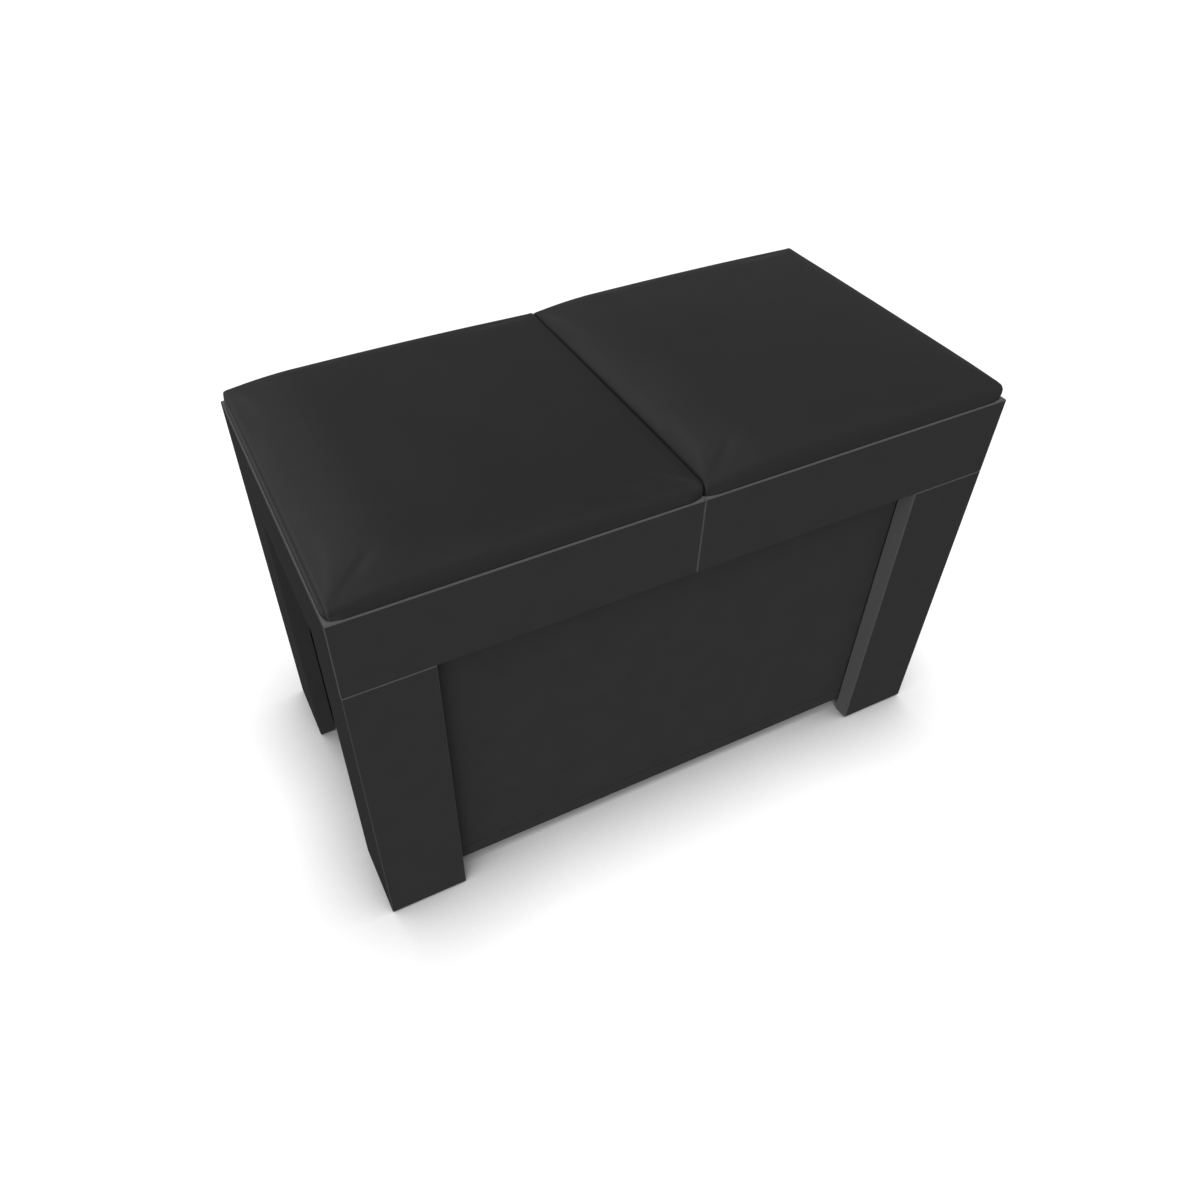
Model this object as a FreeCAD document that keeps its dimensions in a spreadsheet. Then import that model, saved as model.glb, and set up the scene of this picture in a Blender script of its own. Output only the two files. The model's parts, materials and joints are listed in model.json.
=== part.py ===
import FreeCAD, Part
import os
import re

import Sketcher

# An extending bench, in millimetres. Its frame is in two halves that slide apart along X on rails, over a
# box that stays where it stands. The box holds three padded leaves, which then fill the gap between the
# halves. X runs along the bench, -Y is the front, Z is up from the floor, and the origin lies on the floor
# under the middle. The right half is the left half turned half a turn about Z.

SIZES = {
    # Frame
    "bench_length": 660,      # closed, end to end
    "bench_depth": 340,       # front to back
    "frame_height": 424,      # floor to the top of the aprons
    "board": 18,              # thickness of the frame and box boards
    "apron_height": 82,
    "leg_width": 82,          # each of the two boards of a leg
    "edge_bevel": 0.8,        # eased edges of the boards
    "seam_gap": 0.6,          # between the two halves when closed
    "foot_height": 2,         # felt strips under the leg boards
    "foot_length": 44,
    "foot_width": 12,
    "tenon_width": 30,        # loose tenons between legs and aprons
    "tenon_thickness": 8,
    "tenon_length": 40,
    "tenon_edge": 16,         # from a leg board's free edge to its tenon
    "glue_gap": 0.1,          # all round a tenon, tongue or screw in its hole
    "tongue_width": 40,       # tongues that line the two halves up
    "tongue_thickness": 8,
    "tongue_depth": 24,
    "tongue_reach": 12,
    "tongue_bevel": 2,
    "tongue_gap": 0.4,        # all round a tongue in the other half's socket
    # Seat pads
    "seat_reveal": 4,         # from the frame's edge to a pad
    "pad_gap": 0.4,           # from the bench's middle to a pad
    "base_thickness": 9,
    "cover": 3,               # padding round the edge of a seat base
    "pad_edge": 16,           # height of a pad at its rolled edge
    "pad_roll": 6,            # radius of that edge
    "pad_crown": 10,          # rise from the edge to the middle
    "pad_slope": 60,          # width of that rise
    "pad_corner": 12,         # corner radius in plan
    "pad_bow": 1.2,           # how far the sides pull in between corners
    "pad_tuck": 1,            # how far the sides pull in at the foot
    # Under the seats
    "cleat_width": 18,
    "cleat_height": 22,
    "cleat_setback": 20,      # from the bench's middle to a cleat
    "block_width": 18,        # corner blocks behind the aprons' mitres
    "screw_diameter": 4,
    "screw_head": 8,
    "screw_head_height": 2.4,
    "screw_bite": 13,         # how deep a screw goes into a board
    # Rails and slide bars
    "rail_width": 18,
    "rail_height": 44,
    "rail_drop": 0.5,         # from the seat bases down to rails and bars
    "rail_wall": 2.5,
    "slot_mouth": 10,
    "slot_height": 20,
    "slot_lip": 2.5,
    "slot_depth": 3.5,
    "bar_width": 14,
    "bar_wall": 2.2,
    "bar_gap": 3,             # from a seat cleat to the nearest bar
    "bar_lift": 2,            # from the box up to the bars
    "bar_end_gap": 14,        # from a bar's free end to the other half's end plate
    "slide_gap": 0.5,         # between a bar and its rail
    "rib_gap": 0.4,           # all round a rib in its slot
    "rib_head": 13,
    "shoe_length": 40,        # glide at a bar's free end
    "stop_gap": 0.5,          # left between glide and liner when fully open
    "cap_thickness": 4,
    "plug_length": 26,
    "plug_gap": 0.2,
    "plate_thickness": 4,
    "plate_margin": 2,
    "plate_wing": 16,
    "plate_screw_edge": 9,
    # Box
    "box_gap": 2,             # between the box and the frame round it
    "box_foot_height": 15,
    "box_foot_width": 36,
    "box_foot_inset": 24,
    "box_foot_bevel": 3,
    "corner_batten": 20,      # battens in the upright corners of the box
    "bracket_thickness": 3,
    "bracket_width": 40,
    "bracket_drop": 34,
    "bracket_place": 130,     # from the box's middle to a bracket
    # Extension leaves
    "leaf_count": 3,
    "leaf_play": 0.6,
    "leaf_gap": 4,            # between stored leaves
    "leaf_seat": 0.3,         # under a stored leaf
    "batten_width": 15,
    "batten_thickness": 12,
    "batten_setback": 45,     # from a leaf's ends to its battens
    "batten_play": 1.5,       # from a batten to the slide bar beside it
    "rack_thickness": 18,
    "rack_height": 25,
    "rack_floor": 6,
    "rack_place": 110,        # from the box's middle to a rack
    "rack_margin": 12,
    "rack_play": 1,
}

# Places worked out from the sizes. Each is a formula in brackets.
HALF_X = "(bench_length / 2)"
HALF_Y = "(bench_depth / 2)"
INNER_X = "(bench_length / 2 - board)"
INNER_Y = "(bench_depth / 2 - board)"
SEAM = "(seam_gap / 2)"
APRON_FOOT = "(frame_height - apron_height)"
RAIL_TOP = "(frame_height - rail_drop)"
RAIL_FOOT = "(frame_height - rail_drop - rail_height)"
RAIL_MIDDLE = "(frame_height - rail_drop - rail_height / 2)"
RAIL_Y = f"({INNER_Y} - cleat_width - bar_gap - bar_width - slide_gap - rail_width / 2)"
RAIL_X = f"({INNER_X} - plate_thickness - box_gap)"
OUTER_BAR_Y = f"({RAIL_Y} + rail_width / 2 + slide_gap + bar_width / 2)"
INNER_BAR_Y = f"({RAIL_Y} - rail_width / 2 - slide_gap - bar_width / 2)"
BAR_FOOT = f"({RAIL_FOOT} + bar_lift)"
BAR_START = f"({INNER_X} - plate_thickness)"
BAR_END = f"({INNER_X} - plate_thickness - bar_end_gap)"
TRAVEL = "(leaf_count * bench_length / 4)"
LINER_LENGTH = f"({RAIL_X} + {BAR_END} - shoe_length - {TRAVEL} - stop_gap)"
BOX_X = f"({INNER_X} - box_gap)"
BOX_Y = f"({INNER_Y} - box_gap)"
BOX_TOP = RAIL_FOOT
BOX_FLOOR = "(box_foot_height + board)"
PANEL_HEIGHT = f"({BOX_TOP} - {BOX_FLOOR})"
PAD_DEPTH = "(bench_depth - 2 * seat_reveal)"
PAD_TOP = "(pad_edge + pad_crown)"
SEAT_LENGTH = f"({HALF_X} - seat_reveal - pad_gap)"
SEAT_MIDDLE = f"(({HALF_X} - seat_reveal + pad_gap) / 2)"
LEAF_LENGTH = f"({HALF_X} - leaf_play)"
LEAF_PITCH = f"({PAD_TOP} + batten_thickness + leaf_gap)"
LEAF_FOOT = f"({BOX_FLOOR} + rack_floor + leaf_seat)"
SCREW_HOLE = "(screw_diameter + 2 * glue_gap)"
BATTEN_Y = f"({INNER_BAR_Y} - bar_width / 2 - batten_play - batten_width / 2)"

doc = FreeCAD.newDocument("extending_bench")
sheet = doc.addObject("Spreadsheet::Sheet", "Sizes")
for row, (name, size) in enumerate(SIZES.items(), start=1):
    sheet.set(f"A{row}", name)
    sheet.set(f"B{row}", str(size))
    sheet.setAlias(f"B{row}", name)
doc.recompute()

SIZE_NAME = re.compile(r"[a-z][a-z_]*")
HALF_TURN = FreeCAD.Rotation(FreeCAD.Vector(0, 0, 1), 180)
NO_TURN = FreeCAD.Rotation()
nodes = []


def formula(text):
    """The text with each size's name pointing at its cell."""
    return SIZE_NAME.sub(lambda word: "Sizes." + word.group(), text)


def value(text):
    """The formula's value with the sizes as they are."""
    return float(sheet.evalExpression(formula(text)))


def new_body(label, turn=NO_TURN):
    """An empty body that becomes one node, turned about Z."""
    body = doc.addObject("PartDesign::Body", label)
    body.Label = label
    body.Placement = FreeCAD.Placement(FreeCAD.Vector(0, 0, 0), turn)
    nodes.append(body)
    return body


def new_sketch(body, title, offset="0", plane="XY_Plane"):
    """A sketch on one of the body's own planes, moved along that plane's normal."""
    sketch = body.newObject("Sketcher::SketchObject", f"{body.Name}_{title}")
    origin_plane = [item for item in body.Origin.OriginFeatures if item.Role == plane][0]
    sketch.AttachmentSupport = [(origin_plane, "")]
    sketch.MapMode = "FlatFace"
    sketch.setExpression("AttachmentOffset.Base.z", formula(offset))
    return sketch


def fix_point(sketch, geometry, end, across, up):
    """Ties one end of a line or arc, or a centre, to two formulas."""
    for kind, text in (("DistanceX", across), ("DistanceY", up)):
        constraint = Sketcher.Constraint(kind, -1, 1, geometry, end, value(text))
        number = sketch.addConstraint(constraint)
        sketch.setExpression(f"Constraints[{number}]", formula(text))


def polygon(sketch, corners):
    """A closed outline of straight lines through corners given as pairs of formulas."""
    places = [FreeCAD.Vector(value(across), value(up), 0) for across, up in corners]
    lines = []
    for start, end in zip(places, places[1:] + places[:1]):
        lines.append(sketch.addGeometry(Part.LineSegment(start, end), False))
    for line, following in zip(lines, lines[1:] + lines[:1]):
        sketch.addConstraint(Sketcher.Constraint("Coincident", line, 2, following, 1))
    for line, (across, up) in zip(lines, corners):
        fix_point(sketch, line, 1, across, up)


def rectangle(sketch, left, right, low, high):
    polygon(sketch, [(left, low), (right, low), (right, high), (left, high)])


def circle(sketch, across, up, diameter):
    centre = FreeCAD.Vector(value(across), value(up), 0)
    ring = Part.Circle(centre, FreeCAD.Vector(0, 0, 1), value(diameter) / 2)
    number = sketch.addGeometry(ring, False)
    fix_point(sketch, number, 3, across, up)
    size = sketch.addConstraint(Sketcher.Constraint("Diameter", number, value(diameter)))
    sketch.setExpression(f"Constraints[{size}]", formula(diameter))


def pad(body, sketch, length, backwards=False):
    feature = body.newObject("PartDesign::Pad", f"{sketch.Name}_pad")
    feature.Profile = sketch
    feature.Reversed = backwards
    feature.setExpression("Length", formula(length))


def pocket(body, sketch, depth, with_normal=False):
    """A cut from the sketch's plane, against its normal or with it."""
    feature = body.newObject("PartDesign::Pocket", f"{sketch.Name}_pocket")
    feature.Profile = sketch
    feature.Reversed = with_normal
    feature.setExpression("Length", formula(depth))


def drill(body, title, places, diameter, depth, offset, plane, with_normal=False):
    """Blind holes of one size, sunk from the sketch's plane."""
    sketch = new_sketch(body, title, offset, plane)
    for across, up in places:
        circle(sketch, across, up, diameter)
    pocket(body, sketch, depth, with_normal)


def ease_edges(body, chosen, size="edge_bevel"):
    """A small bevel along the chosen edges of the body as it stands."""
    doc.recompute()
    base = body.Tip
    names = [f"Edge{number}" for number, edge in enumerate(base.Shape.Edges, start=1) if chosen(edge)]
    feature = body.newObject("PartDesign::Chamfer", f"{body.Name}_eased")
    feature.Base = (base, names)
    feature.setExpression("Size", formula(size))


def lies_at(edge, axis, place):
    """Whether the whole edge lies where one coordinate has the given value."""
    box = edge.BoundBox
    low, high = {"x": (box.XMin, box.XMax), "y": (box.YMin, box.YMax), "z": (box.ZMin, box.ZMax)}[axis]
    tolerance = 1e-4
    return abs(low - place) < tolerance and abs(high - place) < tolerance


def outer_face_edges(axis, face_place, mitre_axis, mitre_places):
    """Chooses the edges of a board's outer face, apart from those at its mitres."""
    def chosen(edge):
        at_mitre = any(lies_at(edge, mitre_axis, place) for place in mitre_places)
        return lies_at(edge, axis, face_place) and not at_mitre
    return chosen


# Boards of the frame. A mitred board runs along u from the bench's corner, with its outer face at v = 0.
# The tip of each mitre is cut off, so that two boards together make one eased corner.
MITRE_TIP = [("edge_bevel / 2", "edge_bevel / 2"), ("edge_bevel", "0")]


def board_along_x(corners, side):
    """Plan points of a board on the front (side -1) or back (side 1), from the left corner."""
    return [(f"{u} - {HALF_X}", f"{side} * ({HALF_Y} - ({v}))") for u, v in corners]


def board_along_y(corners, side):
    return [(f"{v} - {HALF_X}", f"{side} * ({HALF_Y} - ({u}))") for u, v in corners]


def tenon_plan(sketch, side, across_front, gap="0"):
    """The section of a leg board's loose tenon, or of its mortise, which is wider by the gap all round."""
    far, near = f"leg_width - tenon_edge + {gap}", f"leg_width - tenon_edge - tenon_width - {gap}"
    outer, inner = f"(board - tenon_thickness) / 2 - {gap}", f"(board + tenon_thickness) / 2 + {gap}"
    corners = [(near, outer), (far, outer), (far, inner), (near, inner)]
    polygon(sketch, (board_along_x if across_front else board_along_y)(corners, side))


def mortises(body, wanted, upwards):
    """Mortises for the tenons between the legs and the aprons, given as (side, across_front)."""
    sketch = new_sketch(body, "mortises", APRON_FOOT)
    for side, across_front in wanted:
        tenon_plan(sketch, side, across_front, "glue_gap")
    pocket(body, sketch, "tenon_length / 2 + glue_gap", with_normal=upwards)


def tongue_end(sketch, side, gap="0"):
    """The section of the tongue in a long apron's end, or of the hole for it."""
    middle_y = f"{side} * ({HALF_Y} - board / 2)"
    middle_z = f"{APRON_FOOT} + apron_height / 2"
    half_y, half_z = f"(tongue_thickness / 2 + {gap})", f"(tongue_width / 2 + {gap})"
    across = (f"{middle_y} - {half_y}", f"{middle_y} + {half_y}")
    rectangle(sketch, *across, f"{middle_z} - {half_z}", f"{middle_z} + {half_z}")


def long_apron(label, turn, side):
    """The front or back apron of a half. One holds the half's own tongue, the other takes the other's."""
    body = new_body(label, turn)
    length = f"({HALF_X} - {SEAM})"
    corners = MITRE_TIP + [(length, "0"), (length, "board"), ("board", "board")]
    outline = new_sketch(body, "plan", APRON_FOOT)
    polygon(outline, board_along_x(corners, side))
    pad(body, outline, "apron_height")
    tip = value(f"edge_bevel - {HALF_X}")
    ease_edges(body, outer_face_edges("y", value(f"{side} * {HALF_Y}"), "x", [tip]))
    mortises(body, [(side, True)], upwards=True)
    hole = new_sketch(body, "tongue_hole", f"-{SEAM}", "YZ_Plane")
    if side < 0:
        tongue_end(hole, side, "glue_gap")
        pocket(body, hole, "tongue_depth + glue_gap")
    else:
        tongue_end(hole, side, "tongue_gap")
        pocket(body, hole, "tongue_reach + tongue_gap")


def end_apron(label, turn):
    """The end apron of a half, cut for the leg tenons and drilled for the end plates' screws."""
    body = new_body(label, turn)
    far_tip = [("bench_depth - edge_bevel", "0"), ("bench_depth - edge_bevel / 2", "edge_bevel / 2")]
    corners = MITRE_TIP + far_tip + [("bench_depth - board", "board"), ("board", "board")]
    outline = new_sketch(body, "plan", APRON_FOOT)
    polygon(outline, board_along_y(corners, -1))
    pad(body, outline, "apron_height")
    tips = [value(f"{side} * ({HALF_Y} - edge_bevel)") for side in (-1, 1)]
    ease_edges(body, outer_face_edges("x", value(f"-{HALF_X}"), "y", tips))
    mortises(body, [(-1, False), (1, False)], upwards=True)
    depth = "screw_bite + glue_gap"
    drill(body, "screw_holes", plate_screw_places(), SCREW_HOLE, depth, f"-{INNER_X}", "YZ_Plane")


def leg_board(label, turn, side, across_front):
    """One of the two boards of a leg: the face board across the front or back, or the side board."""
    body = new_body(label, turn)
    corners = MITRE_TIP + [("leg_width", "0"), ("leg_width", "board"), ("board", "board")]
    outline = new_sketch(body, "plan", "foot_height")
    polygon(outline, (board_along_x if across_front else board_along_y)(corners, side))
    pad(body, outline, f"{APRON_FOOT} - foot_height")
    if across_front:
        tip = value(f"edge_bevel - {HALF_X}")
        ease_edges(body, outer_face_edges("y", value(f"{side} * {HALF_Y}"), "x", [tip]))
    else:
        tip = value(f"{side} * ({HALF_Y} - edge_bevel)")
        ease_edges(body, outer_face_edges("x", value(f"-{HALF_X}"), "y", [tip]))
    mortises(body, [(side, across_front)], upwards=False)


def leg_tenons(label, turn):
    body = new_body(label, turn)
    plan = new_sketch(body, "plan", f"{APRON_FOOT} - tenon_length / 2")
    for side in (-1, 1):
        tenon_plan(plan, side, True)
        tenon_plan(plan, side, False)
    pad(body, plan, "tenon_length")


def foot_felts(label, turn):
    """A strip of felt under each leg board."""
    body = new_body(label, turn)
    plan = new_sketch(body, "plan")
    middle = "(leg_width + board) / 2"
    near, far = f"{middle} - foot_length / 2", f"{middle} + foot_length / 2"
    outer, inner = "(board - foot_width) / 2", "(board + foot_width) / 2"
    corners = [(near, outer), (far, outer), (far, inner), (near, inner)]
    for side in (-1, 1):
        polygon(plan, board_along_x(corners, side))
        polygon(plan, board_along_y(corners, side))
    pad(body, plan, "foot_height")


def alignment_tongue(label, turn):
    """A tongue in one long apron's end that enters the other half's socket as the bench closes."""
    body = new_body(label, turn)
    end = new_sketch(body, "end", f"-{SEAM} - tongue_depth", "YZ_Plane")
    tongue_end(end, -1)
    pad(body, end, "tongue_depth + seam_gap + tongue_reach")
    tip = value(f"{SEAM} + tongue_reach")
    ease_edges(body, lambda edge: lies_at(edge, "x", tip), "tongue_bevel")


def seat_cleats(label, turn):
    """Strips glued inside the long aprons, level with their tops, that carry the seat's base."""
    body = new_body(label, turn)
    plan = new_sketch(body, "plan", "frame_height - cleat_height")
    for side in (-1, 1):
        inner = f"{side} * ({INNER_Y} - cleat_width)"
        rectangle(plan, f"block_width - {INNER_X}", "-cleat_setback", inner, f"{side} * {INNER_Y}")
    pad(body, plan, "cleat_height")


def corner_blocks(label, turn):
    """Square blocks glued behind the mitres of the aprons."""
    body = new_body(label, turn)
    foot = f"({BOX_TOP} + box_gap)"
    plan = new_sketch(body, "plan", foot)
    for side in (-1, 1):
        inner = f"{side} * ({INNER_Y} - block_width)"
        rectangle(plan, f"-{INNER_X}", f"block_width - {INNER_X}", inner, f"{side} * {INNER_Y}")
    pad(body, plan, f"frame_height - {foot}")


def plate_screws(label, turn):
    """The screws that hold the two end plates to the end apron."""
    body = new_body(label, turn)
    heads = new_sketch(body, "heads", f"-{BAR_START}", "YZ_Plane")
    shanks = new_sketch(body, "shanks", f"-{BAR_START}", "YZ_Plane")
    for across, up in plate_screw_places():
        circle(heads, across, up, "screw_head")
        circle(shanks, across, up, "screw_diameter")
    pad(body, heads, "screw_head_height - glue_gap", backwards=True)
    pad(body, shanks, "plate_thickness + screw_bite", backwards=True)


# Seat pads. A pad's own frame has its middle at the origin and the underside of its base at z = 0.
def base_outline(body, length):
    """The outline of a pad's base, with its corners cut back under the cushion's round ones."""
    sketch = new_sketch(body, "base")
    half_x = f"({length} / 2 - cover)"
    half_y = f"({PAD_DEPTH} / 2 - cover)"
    cut = "pad_corner / 2"
    corners = []
    for sign_x, sign_y in ((1, -1), (1, 1), (-1, 1), (-1, -1)):
        beside = (f"{sign_x} * {half_x}", f"{sign_y} * ({half_y} - {cut})")
        ahead = (f"{sign_x} * ({half_x} - {cut})", f"{sign_y} * {half_y}")
        corners += [ahead, beside] if sign_x * sign_y < 0 else [beside, ahead]
    polygon(sketch, corners)
    return sketch


def pad_base(label, length):
    """The plywood base of a pad."""
    body = new_body(label)
    pad(body, base_outline(body, length), "base_thickness")
    return body


def pad_outline(body, title, height, half_x, half_y, bow):
    """A rectangle with round corners. With a bow, its sides are arcs drawn in between the corners."""
    sketch = new_sketch(body, title, height)
    back_x, back_y = f"({half_x} - pad_corner)", f"({half_y} - pad_corner)"
    corner_cut = "(pad_corner * (1 - 1 / 2 ^ 0.5))"
    in_x, in_y = f"({half_x} - {corner_cut})", f"({half_y} - {corner_cut})"
    side_x, side_y = f"({half_x} - {bow or 0})", f"({half_y} - {bow or 0})"
    long_radius = f"(({back_x} ^ 2 + {bow} ^ 2) / (2 * {bow}))" if bow else None
    short_radius = f"(({back_y} ^ 2 + {bow} ^ 2) / (2 * {bow}))" if bow else None
    # Each stretch has its start, a point that its arc passes through and that arc's radius.
    stretches = [
        ((f"-{back_x}", f"-{half_y}"), ("0", f"-{side_y}"), long_radius),
        ((back_x, f"-{half_y}"), (in_x, f"-{in_y}"), "pad_corner"),
        ((half_x, f"-{back_y}"), (side_x, "0"), short_radius),
        ((half_x, back_y), (in_x, in_y), "pad_corner"),
        ((back_x, half_y), ("0", side_y), long_radius),
        ((f"-{back_x}", half_y), (f"-{in_x}", in_y), "pad_corner"),
        ((f"-{half_x}", back_y), (f"-{side_x}", "0"), short_radius),
        ((f"-{half_x}", f"-{back_y}"), (f"-{in_x}", f"-{in_y}"), "pad_corner"),
    ]
    starts = [FreeCAD.Vector(value(across), value(up), 0) for (across, up), _, _ in stretches]
    ends = []
    for number, (_, through, radius) in enumerate(stretches):
        following = starts[(number + 1) % len(stretches)]
        if radius:
            middle = FreeCAD.Vector(value(through[0]), value(through[1]), 0)
            sketch.addGeometry(Part.Arc(starts[number], middle, following), False)
        else:
            sketch.addGeometry(Part.LineSegment(starts[number], following), False)
        runs_forward = sketch.getPoint(number, 1).isEqual(starts[number], 1e-6)
        ends.append((1, 2) if runs_forward else (2, 1))
    for number in range(len(stretches)):
        following = (number + 1) % len(stretches)
        joint = (number, ends[number][1], following, ends[following][0])
        sketch.addConstraint(Sketcher.Constraint("Coincident", *joint))
    for number, ((across, up), _, radius) in enumerate(stretches):
        fix_point(sketch, number, ends[number][0], across, up)
        if radius:
            size = sketch.addConstraint(Sketcher.Constraint("Radius", number, value(radius)))
            sketch.setExpression(f"Constraints[{size}]", formula(radius))
    return sketch


ROLL_CUT = 0.3                         # share of the edge's radius that its bevel takes off each way
CROWN_STEPS = (0, 0.25, 0.5, 0.75, 1)  # where the crown's outlines lie, as shares of its slope


def pad_cushion(label, length):
    """A padded cover over the base: tucked foot, rolled edge and a crown, lofted through level outlines."""
    body = new_body(label)
    rows = [
        ("0", "pad_tuck", "pad_bow"),
        ("(pad_edge - pad_roll)", "0", "pad_bow"),
        (f"(pad_edge - pad_roll * {ROLL_CUT})", f"(pad_roll * {ROLL_CUT})", "pad_bow"),
    ]
    for step in CROWN_STEPS:
        share = 3 * step ** 2 - 2 * step ** 3
        rows.append((f"(pad_edge + pad_crown * {share})", f"(pad_roll + pad_slope * {step})", ""))
    outlines = []
    for number, (height, inset, bow) in enumerate(rows):
        half_x = f"({length} / 2 - {inset})"
        half_y = f"({PAD_DEPTH} / 2 - {inset})"
        outlines.append(pad_outline(body, f"level_{number}", height, half_x, half_y, bow))
    loft = body.newObject("PartDesign::AdditiveLoft", f"{body.Name}_loft")
    loft.Profile = outlines[0]
    loft.Sections = outlines[1:]
    loft.Ruled = True
    pocket(body, base_outline(body, length), "base_thickness", with_normal=True)
    return body


def seat_pad(side_name, turn):
    """The base and cushion of one half's seat, set on the aprons."""
    sign = "-" if turn is NO_TURN else ""
    pieces = [
        pad_base(f"{side_name}_seat_base", SEAT_LENGTH),
        pad_cushion(f"{side_name}_seat_cushion", SEAT_LENGTH),
    ]
    for piece in pieces:
        piece.Placement = FreeCAD.Placement(FreeCAD.Vector(0, 0, 0), turn)
        piece.setExpression("Placement.Base.x", formula(f"{sign}{SEAT_MIDDLE}"))
        piece.setExpression("Placement.Base.z", formula("frame_height"))


# Slide bars. Sections are drawn across the bench, with Y to the right and Z up.
NECK_END = "(bar_width / 2 + slide_gap + slot_lip + rib_gap)"
HEAD_END = "(bar_width / 2 + slide_gap + slot_lip + slot_depth - rib_gap)"
NECK_HALF = "(slot_mouth / 2 - rib_gap)"
SHOE_HALF = "(slot_height / 2 - rib_gap)"
LEFT_BARS = (f"-{OUTER_BAR_Y}", INNER_BAR_Y)


def rib_outline(sketch, bar_y, start, head_half):
    """The T of a rib: a neck out of the bar's rail side and a head behind the slot's lips."""
    half = [(start, NECK_HALF), (NECK_END, NECK_HALF), (NECK_END, head_half), (HEAD_END, head_half)]
    upper = [(f"{bar_y} + {across}", f"{RAIL_MIDDLE} + {up}") for across, up in half]
    lower = [(f"{bar_y} + {across}", f"{RAIL_MIDDLE} - {up}") for across, up in half]
    polygon(sketch, lower + upper[::-1])


def bar_rectangle(sketch, bar_y, wall):
    """A bar's outline, or what lies inside its wall."""
    half = f"(bar_width / 2 - {wall})"
    low, high = f"{BAR_FOOT} + {wall}", f"{RAIL_TOP} - {wall}"
    rectangle(sketch, f"{bar_y} - {half}", f"{bar_y} + {half}", low, high)


def slide_bar(label, turn, bar_y):
    """A hollow bar with a T-rib, cut back at the free end where the glide takes its place."""
    body = new_body(label, turn)
    tube = new_sketch(body, "tube", f"-{BAR_START}", "YZ_Plane")
    bar_rectangle(tube, bar_y, "0")
    bar_rectangle(tube, bar_y, "bar_wall")
    pad(body, tube, f"{BAR_START} + {BAR_END}")
    rib = new_sketch(body, "rib", f"-{BAR_START}", "YZ_Plane")
    rib_outline(rib, bar_y, "(bar_width / 2)", "(rib_head / 2)")
    pad(body, rib, f"{BAR_START} + {BAR_END} - shoe_length")


def bar_glides(label, turn):
    """Moulded ends of the two bars: a cap, a plug in the tube and a T-shoe that fills the slot."""
    body = new_body(label, turn)
    caps = new_sketch(body, "caps", BAR_END, "YZ_Plane")
    plugs = new_sketch(body, "plugs", BAR_END, "YZ_Plane")
    shoes = new_sketch(body, "shoes", f"{BAR_END} - shoe_length", "YZ_Plane")
    for bar_y in LEFT_BARS:
        bar_rectangle(caps, bar_y, "0")
        bar_rectangle(plugs, bar_y, "(bar_wall + plug_gap)")
        rib_outline(shoes, bar_y, "(bar_width / 2)", SHOE_HALF)
    pad(body, caps, "cap_thickness")
    pad(body, plugs, "plug_length", backwards=True)
    pad(body, shoes, "shoe_length + cap_thickness")


def plate_screw_places():
    """Two screws in the wing of each end plate, as (Y, Z)."""
    places = []
    for bar_y in LEFT_BARS:
        wing_side = 1 if bar_y.startswith("-") else -1
        across = f"{bar_y} + {wing_side} * (bar_width / 2 + plate_wing / 2)"
        places += [(across, f"{BAR_FOOT} + plate_screw_edge"), (across, f"{RAIL_TOP} - plate_screw_edge")]
    return places


def bar_plates(label, turn):
    """End plates on the end apron, each with a plug in its bar and two countersunk holes."""
    body = new_body(label, turn)
    plates = new_sketch(body, "plates", f"-{INNER_X}", "YZ_Plane")
    plugs = new_sketch(body, "plugs", f"-{BAR_START}", "YZ_Plane")
    for bar_y in LEFT_BARS:
        wing_side = 1 if bar_y.startswith("-") else -1
        outer = f"{bar_y} - {wing_side} * (bar_width / 2 + plate_margin)"
        inner = f"{bar_y} + {wing_side} * (bar_width / 2 + plate_wing)"
        rectangle(plates, outer, inner, BAR_FOOT, RAIL_TOP)
        bar_rectangle(plugs, bar_y, "(bar_wall + plug_gap)")
    pad(body, plates, "plate_thickness")
    pad(body, plugs, "plug_length")
    places = plate_screw_places()
    drill(body, "holes", places, SCREW_HOLE, "plate_thickness", f"-{BAR_START}", "YZ_Plane")
    sink = "screw_head + 2 * glue_gap"
    drill(body, "sinks", places, sink, "screw_head_height", f"-{BAR_START}", "YZ_Plane")


def bench_half(name, turn):
    """Every piece that slides with one half of the bench."""
    ends = {-1: "front", 1: "back"} if turn is NO_TURN else {-1: "back", 1: "front"}
    for side, end in ends.items():
        long_apron(f"{name}_{end}_apron", turn, side)
        leg_board(f"{name}_{end}_leg_face", turn, side, True)
        leg_board(f"{name}_{end}_leg_side", turn, side, False)
    end_apron(f"{name}_end_apron", turn)
    leg_tenons(f"{name}_leg_tenons", turn)
    foot_felts(f"{name}_foot_felts", turn)
    alignment_tongue(f"{name}_alignment_tongue", turn)
    seat_cleats(f"{name}_seat_cleats", turn)
    corner_blocks(f"{name}_corner_blocks", turn)
    plate_screws(f"{name}_plate_screws", turn)
    seat_pad(name, turn)
    slide_bar(f"{name}_outer_slide_bar", turn, LEFT_BARS[0])
    slide_bar(f"{name}_inner_slide_bar", turn, LEFT_BARS[1])
    bar_glides(f"{name}_bar_glides", turn)
    bar_plates(f"{name}_bar_plates", turn)


# Box between the legs. Its end panels stand between the long ones, all on the bottom board.
def bottom_board():
    body = new_body("box_bottom_board")
    plan = new_sketch(body, "plan", "box_foot_height")
    rectangle(plan, f"-{BOX_X}", BOX_X, f"-{BOX_Y}", BOX_Y)
    pad(body, plan, "board")
    ease_edges(body, lambda edge: lies_at(edge, "z", value("box_foot_height")))


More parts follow.
